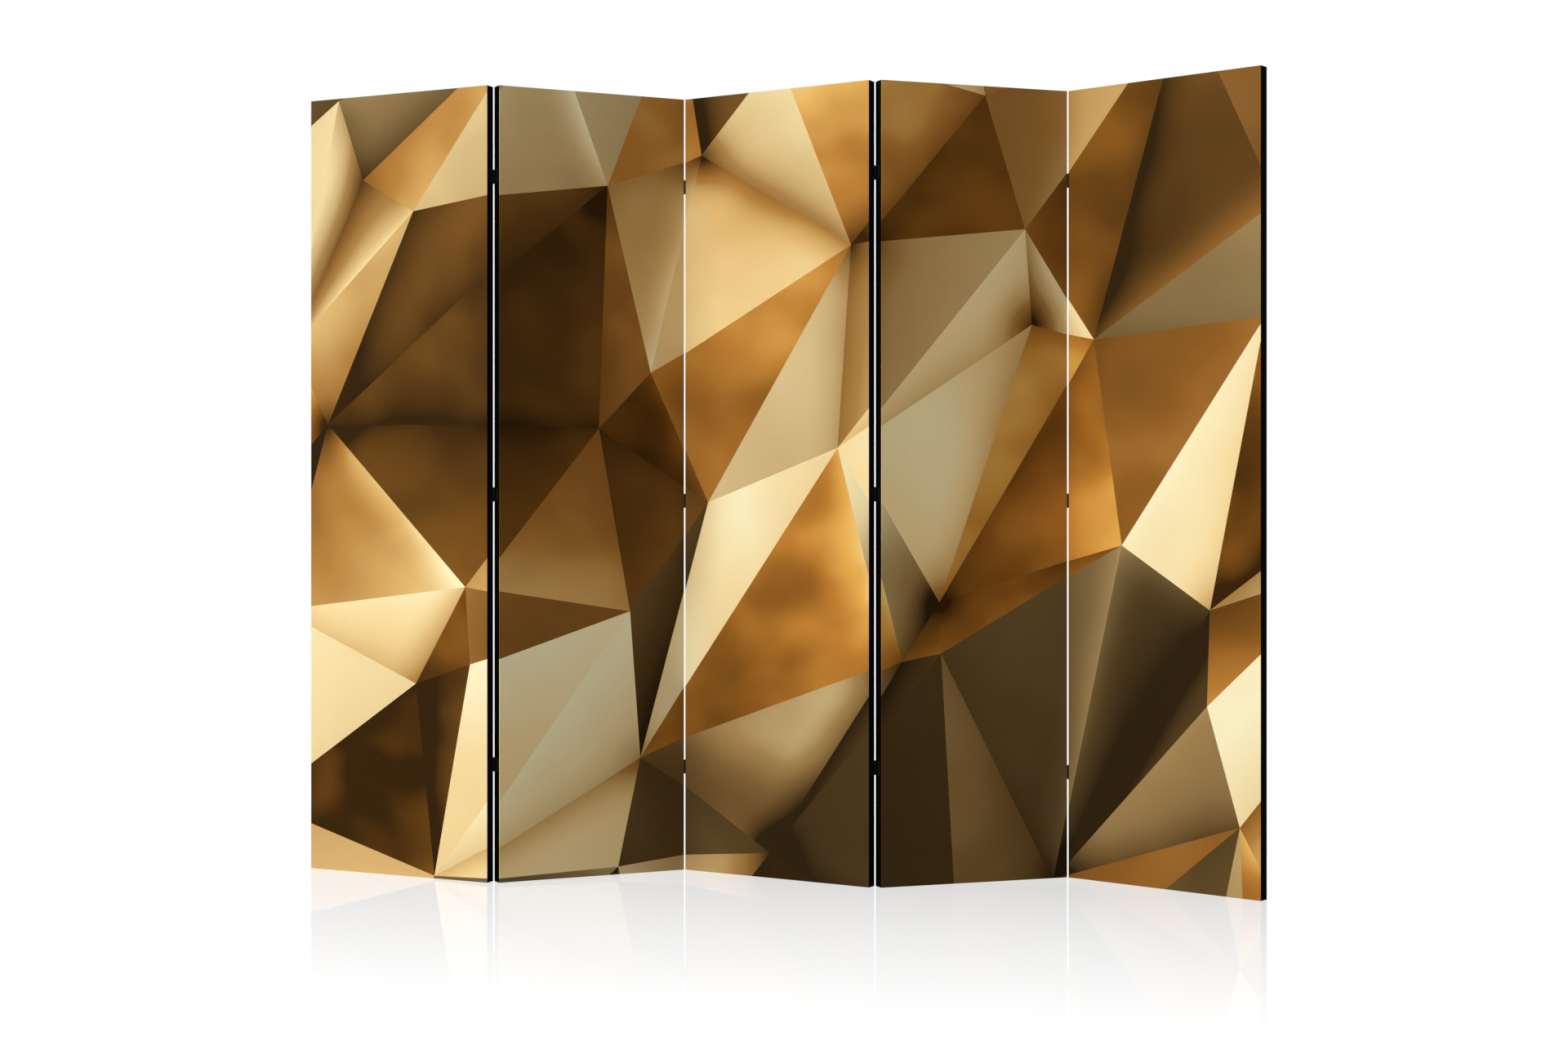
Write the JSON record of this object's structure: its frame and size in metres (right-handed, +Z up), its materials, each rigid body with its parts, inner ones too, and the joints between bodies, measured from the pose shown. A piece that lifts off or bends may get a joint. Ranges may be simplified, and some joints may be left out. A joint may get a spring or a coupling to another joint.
{
  "type": "folding room divider",
  "caption": "Folding screen of tall canvas panels on pine frames, printed in front, black at the sides and back, joined by small butt hinges so that it stands in a zigzag.",
  "frame": {"origin": "on the floor, under the middle of the screen's box as it stands in its zigzag", "axes": "+X along the screen from its left end to its right end seen from the printed side, +Y away from the viewer, +Z up"},
  "size_m": [2.0574, 0.372, 1.72],
  "materials": {
    "printed_canvas": "matt canvas, printed in front with gold facets, black at the edges",
    "black_lining": "matt black cloth",
    "pine": "planed, bare",
    "black_hinge": "black powder coat",
    "hinge_pin": "blackened steel",
    "black_screws": "black phosphate",
    "staple_wire": "zinc-coated wire"
  },
  "bodies": {
    "panel_1": {"panel_1_left_stile": "pine", "panel_1_right_stile": "pine", "panel_1_top_rail": "pine", "panel_1_middle_rail": "pine", "panel_1_bottom_rail": "pine", "panel_1_printed_canvas": "printed_canvas", "panel_1_back_lining": "black_lining", "panel_1_staples": "staple_wire", "panel_1_hinge_screws": "black_screws", "hinge_1_left_leaves": "black_hinge", "hinge_1_pins": "hinge_pin"},
    "panel_2": {"panel_2_left_stile": "pine", "panel_2_right_stile": "pine", "panel_2_top_rail": "pine", "panel_2_middle_rail": "pine", "panel_2_bottom_rail": "pine", "panel_2_printed_canvas": "printed_canvas", "panel_2_back_lining": "black_lining", "panel_2_staples": "staple_wire", "panel_2_hinge_screws": "black_screws", "hinge_1_right_leaves": "black_hinge", "hinge_2_left_leaves": "black_hinge"},
    "panel_3": {"panel_3_left_stile": "pine", "panel_3_right_stile": "pine", "panel_3_top_rail": "pine", "panel_3_middle_rail": "pine", "panel_3_bottom_rail": "pine", "panel_3_printed_canvas": "printed_canvas", "panel_3_back_lining": "black_lining", "panel_3_staples": "staple_wire", "panel_3_hinge_screws": "black_screws", "hinge_2_right_leaves": "black_hinge", "hinge_2_pins": "hinge_pin", "hinge_3_left_leaves": "black_hinge", "hinge_3_pins": "hinge_pin"},
    "panel_4": {"panel_4_left_stile": "pine", "panel_4_right_stile": "pine", "panel_4_top_rail": "pine", "panel_4_middle_rail": "pine", "panel_4_bottom_rail": "pine", "panel_4_printed_canvas": "printed_canvas", "panel_4_back_lining": "black_lining", "panel_4_staples": "staple_wire", "panel_4_hinge_screws": "black_screws", "hinge_3_right_leaves": "black_hinge", "hinge_4_left_leaves": "black_hinge"},
    "panel_5": {"panel_5_left_stile": "pine", "panel_5_right_stile": "pine", "panel_5_top_rail": "pine", "panel_5_middle_rail": "pine", "panel_5_bottom_rail": "pine", "panel_5_printed_canvas": "printed_canvas", "panel_5_back_lining": "black_lining", "panel_5_staples": "staple_wire", "panel_5_hinge_screws": "black_screws", "hinge_4_right_leaves": "black_hinge", "hinge_4_pins": "hinge_pin"}
  },
  "joints": [
    {"name": "fold_2", "type": "hinge", "parent": "panel_3", "child": "panel_2", "pos_m": [-0.20714, 0.089, 0.86], "axis": [0, 0, 1], "range_deg": [-58, 118]},
    {"name": "fold_3", "type": "hinge", "parent": "panel_3", "child": "panel_4", "pos_m": [0.22504, -0.04475, 0.86], "axis": [0, 0, 1], "range_deg": [-52, 124]},
    {"name": "fold_1", "type": "hinge", "parent": "panel_2", "child": "panel_1", "pos_m": [-0.58592, -0.15839, 0.86], "axis": [0, 0, -1], "range_deg": [-52, 128]},
    {"name": "fold_4", "type": "hinge", "parent": "panel_4", "child": "panel_5", "pos_m": [0.62761, 0.1617, 0.86], "axis": [0, 0, -1], "range_deg": [-62, 118]}
  ]
}
